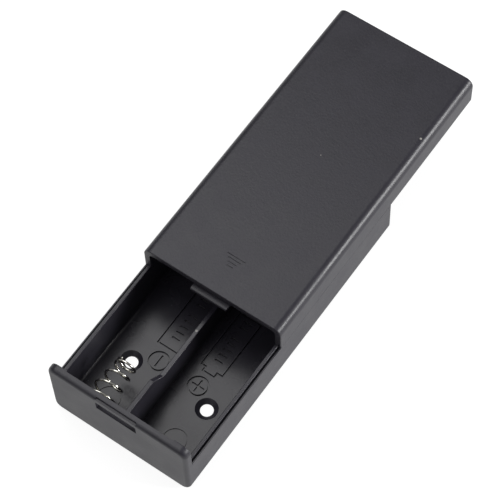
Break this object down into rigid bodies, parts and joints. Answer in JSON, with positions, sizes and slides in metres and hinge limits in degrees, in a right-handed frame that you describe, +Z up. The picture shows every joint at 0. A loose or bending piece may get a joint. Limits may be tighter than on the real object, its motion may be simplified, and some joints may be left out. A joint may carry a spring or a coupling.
{
  "type": "cylindrical cell holder",
  "caption": "Closed-type battery case for round cells laid side by side, with coil-spring contacts, a sliding cover drawn part way open and a small slide switch at the rear.",
  "frame": {"origin": "centre of the tray's flat underside", "axes": "+X across the case towards the right bay, +Y along the cells from the front plate to the rear, +Z up out of the tray"},
  "size_m": [0.043, 0.1319, 0.0221],
  "materials": {
    "case_plastic": "fine matte moulded texture",
    "contact_nickel": "nickel plated",
    "spring_nickel": "nickel plated",
    "switch_steel": "plated sheet",
    "switch_laminate": "pressed laminate",
    "slider_plastic": "moulded",
    "terminal_metal": "tinned"
  },
  "bodies": {
    "case": {"base_tray": "case_plastic", "series_link": "contact_nickel", "front_spring": "spring_nickel", "rear_positive_contact": "contact_nickel", "rear_negative_contact": "contact_nickel", "rear_spring": "spring_nickel", "switch_shell": "switch_steel", "switch_board": "switch_laminate", "switch_terminal_1": "terminal_metal", "switch_terminal_2": "terminal_metal", "switch_terminal_3": "terminal_metal"},
    "cover": {"slide_cover": "case_plastic"},
    "slider": {"switch_slider": "slider_plastic"}
  },
  "joints": [
    {"name": "cover_slide", "type": "slide", "parent": "case", "child": "cover", "axis": [0, 1, 0], "range_m": [-0.0385, 0.044]},
    {"name": "switch_slide", "type": "slide", "parent": "case", "child": "slider", "axis": [1, 0, 0], "range_m": [0, 0.002]}
  ]
}
